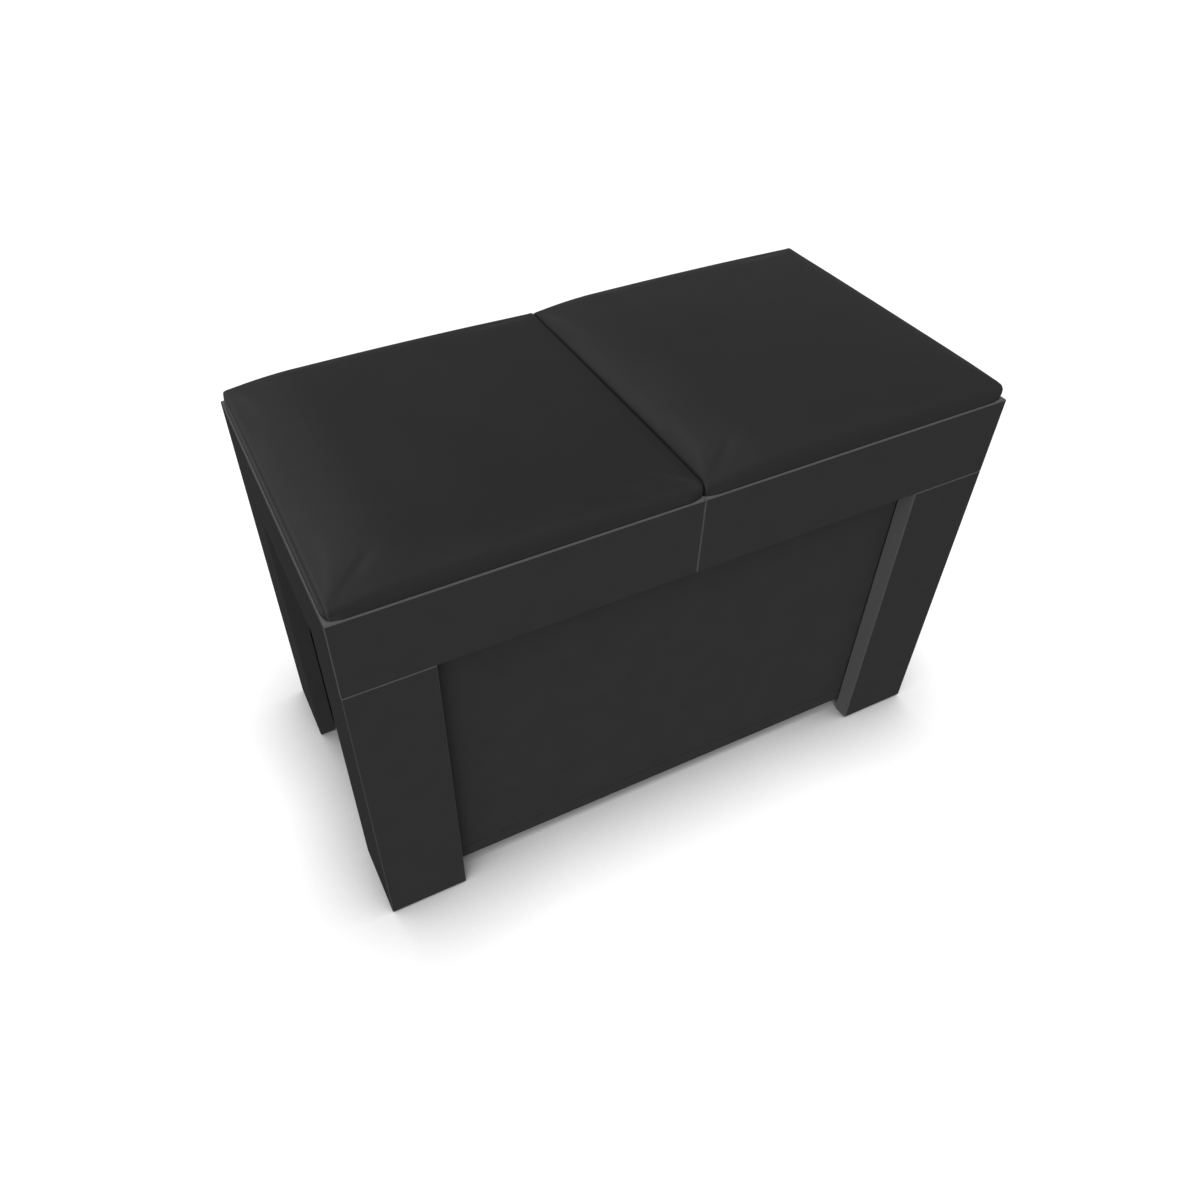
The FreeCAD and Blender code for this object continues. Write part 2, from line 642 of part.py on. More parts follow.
def long_panel(label, side):
    """The front or back panel, drilled for the rail brackets' screws."""
    body = new_body(label)
    plan = new_sketch(body, "plan", BOX_FLOOR)
    inner = f"({BOX_Y} - board)"
    rectangle(plan, f"-{BOX_X}", BOX_X, f"{side} * {inner}", f"{side} * {BOX_Y}")
    pad(body, plan, PANEL_HEIGHT)
    ease_edges(body, lambda edge: lies_at(edge, "y", value(f"{side} * {BOX_Y}")))
    # The plane's normal is -Y, so a hole from the front panel's inner face goes with it.
    places, depth, face = bracket_screw_places(), "screw_bite + glue_gap", f"{-side} * {inner}"
    drill(body, "screw_holes", places, SCREW_HOLE, depth, face, "XZ_Plane", with_normal=side < 0)


def end_panel(label, end):
    """An end panel, between the long panels."""
    body = new_body(label)
    depth = f"({BOX_Y} - board)"
    plan = new_sketch(body, "plan", BOX_FLOOR)
    rectangle(plan, f"{end} * ({BOX_X} - board)", f"{end} * {BOX_X}", f"-{depth}", depth)
    pad(body, plan, PANEL_HEIGHT)


def corner_battens():
    """Battens glued and stapled into the upright corners of the box."""
    body = new_body("box_corner_battens")
    plan = new_sketch(body, "plan", BOX_FLOOR)
    for side in (-1, 1):
        for end in (-1, 1):
            across = [f"{end} * ({BOX_X} - board - {width})" for width in ("0", "corner_batten")]
            up = [f"{side} * ({BOX_Y} - board - {width})" for width in ("0", "corner_batten")]
            rectangle(plan, *across, *up)
    pad(body, plan, f"{PANEL_HEIGHT} - box_gap")


def box_feet():
    """Square feet under the bottom board, narrower at the floor."""
    body = new_body("box_feet")
    plan = new_sketch(body, "plan")
    for side in (-1, 1):
        for end in (-1, 1):
            across = [f"{end} * ({BOX_X} - box_foot_inset - {width})" for width in ("0", "box_foot_width")]
            up = [f"{side} * ({BOX_Y} - box_foot_inset - {width})" for width in ("0", "box_foot_width")]
            rectangle(plan, *across, *up)
    pad(body, plan, "box_foot_height")
    ease_edges(body, lambda edge: lies_at(edge, "z", 0), "box_foot_bevel")


def bracket_screws():
    body = new_body("bracket_screws")
    for side in (-1, 1):
        title = "front" if side < 0 else "back"
        face = f"{-side} * ({BOX_Y} - board - bracket_thickness)"
        heads = new_sketch(body, f"{title}_heads", face, "XZ_Plane")
        shanks = new_sketch(body, f"{title}_shanks", face, "XZ_Plane")
        for across, up in bracket_screw_places():
            circle(heads, across, up, "screw_head")
            circle(shanks, across, up, "screw_diameter")
        pad(body, heads, "screw_head_height", backwards=side < 0)
        pad(body, shanks, "bracket_thickness + screw_bite", backwards=side > 0)


def bracket_screw_places():
    """One screw in the middle of each bracket, as (X, Z)."""
    up = f"{BOX_TOP} - bracket_drop / 2 - bracket_thickness / 2"
    return [(f"{end} * bracket_place", up) for end in (-1, 1)]


def rail_brackets():
    """Steel angles on the long panels that carry the rails between the end panels."""
    body = new_body("rail_brackets")
    wall = f"({BOX_Y} - board)"
    reach = f"({RAIL_Y} - rail_width / 2)"
    for end in (-1, 1):
        title = "left" if end < 0 else "right"
        angles = new_sketch(body, title, f"{end} * bracket_place - bracket_width / 2", "YZ_Plane")
        for side in (-1, 1):
            corners = [
                (wall, BOX_TOP),
                (reach, BOX_TOP),
                (reach, f"{BOX_TOP} - bracket_thickness"),
                (f"{wall} - bracket_thickness", f"{BOX_TOP} - bracket_thickness"),
                (f"{wall} - bracket_thickness", f"{BOX_TOP} - bracket_drop"),
                (wall, f"{BOX_TOP} - bracket_drop"),
            ]
            polygon(angles, [(f"{side} * ({across})", up) for across, up in corners])
        pad(body, angles, "bracket_width")
    places = bracket_screw_places()
    for side in (-1, 1):
        title = "front_holes" if side < 0 else "back_holes"
        depth, face = "bracket_thickness", f"{-side} * {wall}"
        drill(body, title, places, SCREW_HOLE, depth, face, "XZ_Plane", with_normal=side > 0)


# Fixed rails, extruded with a T-slot on each side and a closed chamber above and below
def slot_profile():
    """One side of a rail from foot to top, as (distance from its middle, height)."""
    face = "(rail_width / 2)"
    lip = f"({face} - slot_lip)"
    web = f"({lip} - slot_depth)"
    middle = "rail_height / 2"
    lower = [(face, "0"), (face, f"({middle} - slot_mouth / 2)"), (lip, f"({middle} - slot_mouth / 2)")]
    lower += [(lip, f"({middle} - slot_height / 2)"), (web, f"({middle} - slot_height / 2)")]
    upper = [(across, f"(rail_height - {up})") for across, up in reversed(lower)]
    return lower + upper


def fixed_rail(label, side):
    body = new_body(label)
    section = new_sketch(body, "section", f"-{RAIL_X}", "YZ_Plane")
    profile = slot_profile()
    right = [(f"{side} * {RAIL_Y} + {across}", f"{RAIL_FOOT} + {up}") for across, up in profile]
    left = [(f"{side} * {RAIL_Y} - {across}", f"{RAIL_FOOT} + {up}") for across, up in reversed(profile)]
    polygon(section, right + left)
    chamber_x = "(rail_width / 2 - rail_wall)"
    chamber_top = "((rail_height - slot_height) / 2 - rail_wall)"
    across = [f"{side} * {RAIL_Y} - {chamber_x}", f"{side} * {RAIL_Y} + {chamber_x}"]
    for foot in ("rail_wall", f"rail_height - {chamber_top}"):
        low = f"{RAIL_FOOT} + {foot}"
        rectangle(section, *across, low, f"{low} + {chamber_top} - rail_wall")
    pad(body, section, f"2 * {RAIL_X}")


def rail_liners():
    """Nylon strips above and below a rib at the mouth of its slot, which also stop the bar's glide."""
    body = new_body("rail_liners")
    lip = "(rail_width / 2 - slot_lip)"
    for end in (-1, 1):
        title = "left" if end < 0 else "right"
        start = f"-{RAIL_X}" if end < 0 else f"{RAIL_X} - {LINER_LENGTH}"
        strips = new_sketch(body, title, start, "YZ_Plane")
        for side in (-1, 1):
            # The left half's bars run on the -Y side of both rails, the right half's on the other.
            across = [f"{side} * {RAIL_Y} + {end} * ({lip} - {depth})" for depth in ("0", "slot_depth")]
            for over in (-1, 1):
                low = f"{RAIL_MIDDLE} + {over} * (rib_head / 2 + rib_gap)"
                high = f"{RAIL_MIDDLE} + {over} * slot_height / 2"
                rectangle(strips, *across, low, high)
        pad(body, strips, LINER_LENGTH)


# Extension leaves, stored on edge across the box's middle
def leaf_face(number):
    """Where a stored leaf's underside stands along Y."""
    return f"(batten_thickness + {number} * {LEAF_PITCH} - (leaf_count * {LEAF_PITCH} - leaf_gap) / 2)"


def extension_leaf(number):
    """A leaf's base and cushion, turned so that its length stands up and its padding faces the back."""
    on_edge = FreeCAD.Rotation(FreeCAD.Vector(1, 1, 1), -120)
    pieces = [
        pad_base(f"leaf_{number + 1}_base", LEAF_LENGTH),
        pad_cushion(f"leaf_{number + 1}_cushion", LEAF_LENGTH),
    ]
    for piece in pieces:
        piece.Placement = FreeCAD.Placement(FreeCAD.Vector(0, 0, 0), on_edge)
        piece.setExpression("Placement.Base.y", formula(leaf_face(number)))
        piece.setExpression("Placement.Base.z", formula(f"{LEAF_FOOT} + {LEAF_LENGTH} / 2"))


def leaf_battens(count):
    """Battens under the leaves, which drop between the slide bars and keep a leaf in line."""
    body = new_body("leaf_battens")
    plan = new_sketch(body, "plan", f"{LEAF_FOOT} + batten_setback")
    for number in range(count):
        for side in (-1, 1):
            left = f"{side} * {BATTEN_Y} - batten_width / 2"
            right = f"{side} * {BATTEN_Y} + batten_width / 2"
            rectangle(plan, left, right, f"{leaf_face(number)} - batten_thickness", leaf_face(number))
    pad(body, plan, f"{LEAF_LENGTH} - 2 * batten_setback")


def leaf_racks(count):
    """Two slotted strips on the bottom board that keep the stored leaves apart."""
    body = new_body("leaf_racks")
    top = f"{BOX_FLOOR} + rack_height"
    slot = f"{BOX_FLOOR} + rack_floor"
    ends = [f"{leaf_face(0)} - rack_margin - rack_play"]
    ends.append(f"{leaf_face(count - 1)} + {PAD_TOP} + rack_margin + rack_play")
    corners = [(ends[0], BOX_FLOOR), (ends[0], top)]
    for number in range(count):
        near = f"{leaf_face(number)} - rack_play"
        far = f"{leaf_face(number)} + {PAD_TOP} + rack_play"
        corners += [(near, top), (near, slot), (far, slot), (far, top)]
    corners += [(ends[1], top), (ends[1], BOX_FLOOR)]
    for end in (-1, 1):
        title = "left" if end < 0 else "right"
        comb = new_sketch(body, title, f"{end} * rack_place - rack_thickness / 2", "YZ_Plane")
        polygon(comb, corners)
        pad(body, comb, "rack_thickness")


def storage_box():
    """Every piece that stays where the bench stands."""
    bottom_board()
    long_panel("box_front_panel", -1)
    long_panel("box_back_panel", 1)
    end_panel("box_left_panel", -1)
    end_panel("box_right_panel", 1)
    box_feet()
    corner_battens()
    bracket_screws()
    rail_brackets()
    fixed_rail("front_rail", -1)
    fixed_rail("back_rail", 1)
    rail_liners()
    leaf_total = int(value("leaf_count"))
    for number in range(leaf_total):
        extension_leaf(number)
    leaf_battens(leaf_total)
    leaf_racks(leaf_total)


bench_half("left", NO_TURN)
bench_half("right", HALF_TURN)
storage_box()
doc.recompute()

failed = [item.Name for item in doc.Objects if {"Invalid", "Error"} & set(item.State)]
if failed:
    raise RuntimeError(f"features that failed: {failed}")
for node in nodes:
    if node.Shape.isNull() or not node.Shape.isValid() or not node.Shape.Solids:
        raise RuntimeError(f"no sound solid in {node.Label}")

os.makedirs("parts", exist_ok=True)
for node in nodes:
    node.Shape.exportStep(f"parts/{node.Label}.step")
    print(node.Label, len(node.Shape.Solids), "solids", round(node.Shape.Volume), "mm3")
print(len(nodes), "nodes; each half travels", value(TRAVEL), "mm; liners", value(LINER_LENGTH), "mm")
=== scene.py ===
# %% [markdown]
# # An extending bench
# The bench is a black box of a stool whose two halves slide apart on rails. Its boards, rails and
# fittings come from a CAD model that is already the right size, so this lesson gives those pieces
# their finishes and models what a CAD solid can't show well: the padded seats. Everything is in
# metres, with X along the bench, -Y to the front and Z up from the floor.

# %% Load the CAD frame
import json
import math

import bpy
from mathutils import Matrix, Vector

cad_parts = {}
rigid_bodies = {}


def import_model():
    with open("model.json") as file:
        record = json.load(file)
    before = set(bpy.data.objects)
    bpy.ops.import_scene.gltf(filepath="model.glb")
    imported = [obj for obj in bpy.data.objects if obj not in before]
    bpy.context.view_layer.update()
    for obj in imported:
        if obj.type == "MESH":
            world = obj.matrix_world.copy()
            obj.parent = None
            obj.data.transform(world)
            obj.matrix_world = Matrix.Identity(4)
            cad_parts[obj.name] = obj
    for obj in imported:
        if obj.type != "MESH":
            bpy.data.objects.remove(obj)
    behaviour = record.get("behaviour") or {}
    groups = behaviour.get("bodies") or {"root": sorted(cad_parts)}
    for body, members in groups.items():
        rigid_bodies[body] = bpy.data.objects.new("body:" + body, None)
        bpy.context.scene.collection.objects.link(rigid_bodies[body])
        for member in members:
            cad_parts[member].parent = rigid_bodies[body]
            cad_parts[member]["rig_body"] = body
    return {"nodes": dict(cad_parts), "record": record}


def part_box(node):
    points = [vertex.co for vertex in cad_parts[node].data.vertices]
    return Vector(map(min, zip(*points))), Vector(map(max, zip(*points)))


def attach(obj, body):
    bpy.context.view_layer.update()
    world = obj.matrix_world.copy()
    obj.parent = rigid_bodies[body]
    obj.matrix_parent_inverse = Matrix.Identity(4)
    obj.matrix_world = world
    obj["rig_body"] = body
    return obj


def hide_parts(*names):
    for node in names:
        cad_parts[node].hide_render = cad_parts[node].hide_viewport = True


MM = 0.001
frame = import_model()
scene = bpy.context.scene
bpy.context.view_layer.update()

# %% [markdown]
# ## Camera
# The bench was photographed from above its front left corner with a wide lens. A wide lens makes
# the uprights lean together towards the floor. The place, turn and lens were worked out from the
# corners of the frame, whose sizes are known. The photograph is a crop, so the lens axis isn't
# quite in the middle of the picture, and a small shift puts it back.

# %% Place the camera
IMAGE_SIZE = 1200
SENSOR_WIDTH = 36.0
FOCAL_PIXELS = 975.1
AXIS_PIXEL = (533.2, 602.7)
CAMERA_PLACE = Vector((-0.3958, -0.6902, 0.9327))
CAMERA_TURN = math.radians(-24.33)
CAMERA_TILT = math.radians(90 - 44.31)
CAMERA_ROLL = math.radians(-1.72)

lens = bpy.data.cameras.new("camera")
lens.sensor_width = SENSOR_WIDTH
lens.lens = FOCAL_PIXELS * SENSOR_WIDTH / IMAGE_SIZE
lens.shift_x = (IMAGE_SIZE / 2 - AXIS_PIXEL[0]) / IMAGE_SIZE
lens.shift_y = (AXIS_PIXEL[1] - IMAGE_SIZE / 2) / IMAGE_SIZE
camera = bpy.data.objects.new("camera", lens)
turn = Matrix.Rotation(CAMERA_TURN, 4, "Z") @ Matrix.Rotation(CAMERA_TILT, 4, "X")
camera.matrix_world = Matrix.Translation(CAMERA_PLACE) @ turn @ Matrix.Rotation(CAMERA_ROLL, 4, "Z")
scene.collection.objects.link(camera)
scene.camera = camera
print("lens", round(lens.lens, 2), "shift", round(lens.shift_x, 4), round(lens.shift_y, 4))

# %% [markdown]
# ## Helpers for node trees
# Every finish is a small tree of nodes. These helpers add a node, join two sockets and cover what
# each finish needs: a colour between two others, a number moved into a range, and a bump.


# %% Node helpers
def add_node(tree, kind, **settings):
    """A new node with the given properties."""
    node = tree.nodes.new(kind)
    for name, setting in settings.items():
        setattr(node, name, setting)
    return node


def into_range(tree, source, low, high, start=0.0):
    """A value from the start to 1, spread over another range."""
    node = add_node(tree, "ShaderNodeMapRange")
    node.inputs["From Min"].default_value = start
    node.inputs["To Min"].default_value = low
    node.inputs["To Max"].default_value = high
    tree.links.new(source, node.inputs["Value"])
    return node.outputs["Result"]


def between(tree, factor, first, second):
    """A colour between two, each a plain colour or the output of another node."""
    node = add_node(tree, "ShaderNodeMix", data_type="RGBA")
    factor_in, first_in, second_in = node.inputs[0], node.inputs[6], node.inputs[7]
    tree.links.new(factor, factor_in)
    for colour, socket in ((first, first_in), (second, second_in)):
        if isinstance(colour, bpy.types.NodeSocket):
            tree.links.new(colour, socket)
        else:
            socket.default_value = (*colour, 1)
    return node.outputs[2]


def bump(tree, height, depth, strength):
    """A normal from a height that runs from 0 to 1 over the given depth."""
    node = add_node(tree, "ShaderNodeBump")
    node.inputs["Strength"].default_value = strength
    node.inputs["Distance"].default_value = depth
    tree.links.new(height, node.inputs["Height"])
    return node.outputs["Normal"]


def place_on_object(tree, scale=(1, 1, 1), turn=(0, 0, 0)):
    """Object coordinates, stretched and turned."""
    coordinates = add_node(tree, "ShaderNodeTexCoord")
    mapping = add_node(tree, "ShaderNodeMapping")
    mapping.inputs["Scale"].default_value = scale
    mapping.inputs["Rotation"].default_value = turn
    tree.links.new(coordinates.outputs["Object"], mapping.inputs["Vector"])
    return mapping.outputs["Vector"]


def new_finish(name, roughness, metallic=0.0, specular=0.5):
    """A material with its shader, and the numbers that are the same all over."""
    material = bpy.data.materials.new(name)
    material.use_nodes = True
    shader = material.node_tree.nodes["Principled BSDF"]
    shader.inputs["Roughness"].default_value = roughness
    shader.inputs["Metallic"].default_value = metallic
    shader.inputs["Specular IOR Level"].default_value = specular
    return material, material.node_tree, shader


# %% [markdown]
# ## Stage
# The picture has a white ground with a pale shadow close to the bench. A white floor under enough
# light to be white would also light the bench too much, so the floor gives the camera most of its
# white by itself and takes the rest from the lamps. Its own glow is dimmed where the bench stands
# close over it, which paints a soft shadow there.
# The world is white only where it is looked at or mirrored.


# %% World and floor
def seen_directly(tree):
    """1 for a ray from the camera, a mirror or a glass, and 0 for one that lights a surface."""
    path = add_node(tree, "ShaderNodeLightPath")
    first = add_node(tree, "ShaderNodeMath", operation="MAXIMUM")
    tree.links.new(path.outputs["Is Camera Ray"], first.inputs[0])
    tree.links.new(path.outputs["Is Glossy Ray"], first.inputs[1])
    second = add_node(tree, "ShaderNodeMath", operation="MAXIMUM")
    tree.links.new(first.outputs[0], second.inputs[0])
    tree.links.new(path.outputs["Is Transmission Ray"], second.inputs[1])
    return second.outputs[0]


AMBIENT = 0.36
FLOOR_SIZE = 14.0
FLOOR_COLOUR = 0.3
FLOOR_GLOW = 0.8
SHADOW_REACH = 0.12
DEEPEST_SHADE = 0.35

world = bpy.data.worlds.new("studio")
world.use_nodes = True
scene.world = world
tree = world.node_tree
ambient = tree.nodes["Background"]
ambient.inputs["Color"].default_value = (1, 1, 1, 1)
ambient.inputs["Strength"].default_value = AMBIENT
white = add_node(tree, "ShaderNodeBackground")
white.inputs["Color"].default_value = (1, 1, 1, 1)
choice = add_node(tree, "ShaderNodeMixShader")
tree.links.new(seen_directly(tree), choice.inputs[0])
tree.links.new(ambient.outputs[0], choice.inputs[1])
tree.links.new(white.outputs[0], choice.inputs[2])
tree.links.new(choice.outputs[0], tree.nodes["World Output"].inputs["Surface"])

bpy.ops.object.select_all(action="DESELECT")
bpy.ops.mesh.primitive_plane_add(size=FLOOR_SIZE, location=(0, 0, 0))
floor = bpy.context.object
floor.name = "floor"
material, tree, shader = new_finish("pale_floor", roughness=0.9, specular=0.0)
shader.inputs["Base Color"].default_value = (FLOOR_COLOUR, FLOOR_COLOUR, FLOOR_COLOUR, 1)
shader.inputs["Emission Color"].default_value = (1, 1, 1, 1)
# Painted shadow: the floor's glow is dimmed by ambient occlusion where the bench stands close over it.
painted_floor_shadow = add_node(tree, "ShaderNodeAmbientOcclusion")
painted_floor_shadow.inputs["Distance"].default_value = SHADOW_REACH
glow = add_node(tree, "ShaderNodeMath", operation="MULTIPLY")
tree.links.new(into_range(tree, painted_floor_shadow.outputs["AO"], 0.0, FLOOR_GLOW, DEEPEST_SHADE), glow.inputs[1])
tree.links.new(seen_directly(tree), glow.inputs[0])
tree.links.new(glow.outputs[0], shader.inputs["Emission Strength"])
floor.data.materials.append(material)

scene.view_settings.view_transform = "Standard"
print("stage", world.name, floor.name, FLOOR_SIZE, "m wide")


# %% [markdown]
# ## Lamps
# Broad lamps, all so far off that they light the floor evenly. The main one is high in front. A
# low one in front on the left lights the fronts, and the left leg then throws a soft shadow on the
# panel beside it. A weak one behind puts a sheen on the pads. The fourth grazes the pads from the
# left and brings out their left slopes. A studio would keep it off the frame with a flag, and here
# it is linked to the pads alone, without its mirror image.


# %% Lamps
def hang_lamp(name, towards, strength, spread):
    """A lamp far away in a direction, which gives its strength to a surface that faces it."""
    lamp = bpy.data.lights.new(name, "SUN")
    lamp.energy = strength * math.pi
    lamp.angle = math.radians(spread)
    holder = bpy.data.objects.new(name, lamp)
    holder.rotation_euler = (-Vector(towards)).to_track_quat("-Z", "Y").to_euler()
    scene.collection.objects.link(holder)
    return holder


hang_lamp("main_lamp", (-0.25, -0.5, 0.83), 0.65, 60)
hang_lamp("front_lamp", (-0.4, -0.85, 0.34), 0.55, 45)
hang_lamp("back_lamp", (-0.05, 0.77, 0.63), 0.12, 25)
grazing_lamp = hang_lamp("grazing_lamp", (-0.99, 0, 0.1), 2.6, 25)
padded_only = bpy.data.collections.new("padded_only")
grazing_lamp.light_linking.receiver_collection = padded_only
grazing_lamp.visible_glossy = False
print("lamps", [light.name for light in bpy.data.lights])

# %% [markdown]
# ## Finishes of the boards
# The frame and the box are chipboard faced with satin black foil, which has a fine pearl texture.
# The narrow edges of such boards are closed with a strip of plastic that is smoother. Their colour
# is much lighter, partly the strip's own tone and partly a painted highlight, so every edge reads as
# a pale line. A board knows its edges by their direction: whatever doesn't look along the board's
# thickness is edge. That makes a node group, because boards that stand, lie or cross need it with
# another axis.


# %% Groups shared by the finishes
FACE_LEAN = 0.97
EDGE_LEAN = 0.45


def new_group(name, inputs, outputs):
    """An empty node group with named sockets, and its two end nodes."""
    group = bpy.data.node_groups.new(name, "ShaderNodeTree")
    for way, sockets in (("INPUT", inputs), ("OUTPUT", outputs)):
        for socket, kind in sockets:
            group.interface.new_socket(socket, in_out=way, socket_type=kind)
    return group, group.nodes.new("NodeGroupInput"), group.nodes.new("NodeGroupOutput")


def make_edge_group():
    """1 on a board's narrow edges and 0 on its two faces, with half tones on the eased corners."""
    group, given, result = new_group(
        "board_edge", [("Face Axis", "NodeSocketVector")], [("Edge", "NodeSocketFloat")])
    coordinates = add_node(group, "ShaderNodeTexCoord")
    along = add_node(group, "ShaderNodeVectorMath", operation="DOT_PRODUCT")
    group.links.new(coordinates.outputs["Normal"], along.inputs[0])
    group.links.new(given.outputs["Face Axis"], along.inputs[1])
    size = add_node(group, "ShaderNodeMath", operation="ABSOLUTE")
    group.links.new(along.outputs["Value"], size.inputs[0])
    edge = add_node(group, "ShaderNodeMapRange", interpolation_type="SMOOTHSTEP")
    edge.inputs["From Min"].default_value = FACE_LEAN
    edge.inputs["From Max"].default_value = EDGE_LEAN
    group.links.new(size.outputs[0], edge.inputs["Value"])
    group.links.new(edge.outputs["Result"], result.inputs["Edge"])
    return group


def make_speckle_group():
    """Two sizes of noise: a slow mottle and a fine texture, each from 0 to 1."""
    number = "NodeSocketFloat"
    group, given, result = new_group(
        "speckle",
        [("Vector", "NodeSocketVector"), ("Mottle Scale", number), ("Fine Scale", number)],
        [("Mottle", number), ("Fine", number)])
    for scale, detail in (("Mottle Scale", 3), ("Fine Scale", 1)):
        noise = add_node(group, "ShaderNodeTexNoise")
        noise.inputs["Detail"].default_value = detail
        group.links.new(given.outputs["Vector"], noise.inputs["Vector"])
        group.links.new(given.outputs[scale], noise.inputs["Scale"])
        group.links.new(noise.outputs["Fac"], result.inputs[scale.split()[0]])
    return group


def make_grain_group():
    """Wood grain that runs along X of the given vector: bands of growth, and short dark pores."""
    group, given, result = new_group(
        "wood_grain",
        [("Vector", "NodeSocketVector")],
        [("Bands", "NodeSocketFloat"), ("Pores", "NodeSocketFloat")])
    noises = (("Bands", (1.2, 14, 14), 6, 5), ("Pores", (9, 160, 160), 9, 2))
    for socket, stretch, scale, detail in noises:
        mapping = add_node(group, "ShaderNodeMapping")
        mapping.inputs["Scale"].default_value = stretch
        group.links.new(given.outputs["Vector"], mapping.inputs["Vector"])
        noise = add_node(group, "ShaderNodeTexNoise")
        noise.inputs["Scale"].default_value = scale
        noise.inputs["Detail"].default_value = detail
        noise.inputs["Distortion"].default_value = 0.4
        group.links.new(mapping.outputs["Vector"], noise.inputs["Vector"])
        group.links.new(noise.outputs["Fac"], result.inputs[socket])
    return group


EDGE_GROUP = make_edge_group()
SPECKLE_GROUP = make_speckle_group()
GRAIN_GROUP = make_grain_group()
print("groups", [group.name for group in bpy.data.node_groups])


def add_group(tree, group, **values):
    """A group placed in a material with its own values."""
    node = add_node(tree, "ShaderNodeGroup", node_tree=group)
    for name, setting in values.items():
        socket = node.inputs[name.replace("_", " ")]
        if isinstance(setting, bpy.types.NodeSocket):
            tree.links.new(setting, socket)
        else:
            socket.default_value = setting
    return node


def add_speckle(tree, vector, mottle, fine):
    """The speckle group on a vector, with its two scales per metre."""
    return add_group(tree, SPECKLE_GROUP, Vector=vector, Mottle_Scale=mottle, Fine_Scale=fine).outputs


# %% Black boards
AXES = {"x": (1, 0, 0), "y": (0, 1, 0), "z": (0, 0, 1)}
BOARD_FACE = ((0.0225, 0.0225, 0.0233), (0.027, 0.027, 0.0278))
BOARD_EDGE_AND_HIGHLIGHT = (0.096, 0.096, 0.098)


def black_board(axis):
    """Foil-faced board whose faces look along the axis, or that is wrapped in foil all round."""
    material, tree, shader = new_finish(f"black_board_{axis}", roughness=0.88, specular=0.006)
    speckle = add_speckle(tree, place_on_object(tree), 35.0, 1300.0)
    colour = between(tree, speckle["Mottle"], *BOARD_FACE)
    if axis in AXES:
        # Painted highlight: the edges get a much lighter colour, partly the edge strip's own tone and
        # partly painted light.
        edge = add_group(tree, EDGE_GROUP, Face_Axis=AXES[axis]).outputs["Edge"]
        colour = between(tree, edge, colour, BOARD_EDGE_AND_HIGHLIGHT)
    tree.links.new(colour, shader.inputs["Base Color"])
    tree.links.new(into_range(tree, speckle["Mottle"], 0.84, 0.92), shader.inputs["Roughness"])
    tree.links.new(bump(tree, speckle["Fine"], 0.05 * MM, 0.25), shader.inputs["Normal"])
    return material


# %% [markdown]
# ## Finishes of the inner pieces
# Pulled apart, the bench shows its works: raw plywood under the pads, beech cleats and battens,
# anodised rails, zinc-plated plates, nylon glides and felt under the legs. Wood has its grain
# along each piece, and an extruded rail has fine streaks along its length.


# %% Wood
def turned_along(axis):
    """The turn that lays the grain, which runs along X, along another axis."""
    quarter = math.pi / 2
    return {"x": (0, 0, 0), "y": (0, 0, -quarter), "z": (0, quarter, 0)}[axis]


def raw_wood(name, axis, light, dark, pore):
    """Unfinished wood with its grain along the axis."""
    material, tree, shader = new_finish(f"{name}_{axis}", roughness=0.6, specular=0.35)
    grain = add_group(tree, GRAIN_GROUP, Vector=place_on_object(tree, turn=turned_along(axis)))
    bands = add_node(tree, "ShaderNodeValToRGB")
    bands.color_ramp.elements[0].position = 0.35
    bands.color_ramp.elements[0].color = (*dark, 1)
    bands.color_ramp.elements[1].position = 0.65
    bands.color_ramp.elements[1].color = (*light, 1)
    tree.links.new(grain.outputs["Bands"], bands.inputs["Fac"])
    pores = add_node(tree, "ShaderNodeMapRange")
    pores.inputs["From Min"].default_value = 0.6
    pores.inputs["From Max"].default_value = 0.75
    pores.inputs["To Max"].default_value = 0.6
    tree.links.new(grain.outputs["Pores"], pores.inputs["Value"])
    colour = between(tree, pores.outputs["Result"], bands.outputs["Color"], pore)
    tree.links.new(colour, shader.inputs["Base Color"])
    tree.links.new(into_range(tree, grain.outputs["Bands"], 0.5, 0.7), shader.inputs["Roughness"])
    tree.links.new(bump(tree, grain.outputs["Pores"], 0.15 * MM, 0.3), shader.inputs["Normal"])
    return material


def plywood(axis):
    """Birch plywood."""
    return raw_wood("plywood", axis, (0.66, 0.49, 0.30), (0.56, 0.39, 0.22), (0.38, 0.25, 0.13))


def beech(axis):
    """Steamed beech, redder and darker."""
    return raw_wood("beech", axis, (0.58, 0.37, 0.21), (0.47, 0.28, 0.15), (0.27, 0.14, 0.07))


# %% Metals
PATCHES_PER_METRE = 260


def anodised_aluminium():
    """Satin metal with the streaks of its extrusion along X."""
    material, tree, shader = new_finish("anodised_aluminium", roughness=0.34, metallic=1.0)
    streaks = place_on_object(tree, scale=(0.02, 1, 1))
    speckle = add_speckle(tree, streaks, 60.0, 1800.0)
    colour = between(tree, speckle["Mottle"], (0.56, 0.57, 0.58), (0.68, 0.69, 0.70))
    tree.links.new(colour, shader.inputs["Base Color"])
    tree.links.new(into_range(tree, speckle["Fine"], 0.26, 0.44), shader.inputs["Roughness"])
    tree.links.new(bump(tree, speckle["Fine"], 0.02 * MM, 0.2), shader.inputs["Normal"])
    return material


def zinc_steel():
    """Plated steel, with the small patches in which zinc sets."""
    material, tree, shader = new_finish("zinc_steel", roughness=0.36, metallic=1.0)
    patches = add_node(tree, "ShaderNodeTexVoronoi")
    patches.inputs["Scale"].default_value = PATCHES_PER_METRE
    tree.links.new(place_on_object(tree), patches.inputs["Vector"])
    tone = add_node(tree, "ShaderNodeRGBToBW")
    tree.links.new(patches.outputs["Color"], tone.inputs["Color"])
    colour = between(tree, tone.outputs["Val"], (0.44, 0.46, 0.49), (0.62, 0.63, 0.65))
    tree.links.new(colour, shader.inputs["Base Color"])
    tree.links.new(into_range(tree, tone.outputs["Val"], 0.28, 0.46), shader.inputs["Roughness"])
    return material


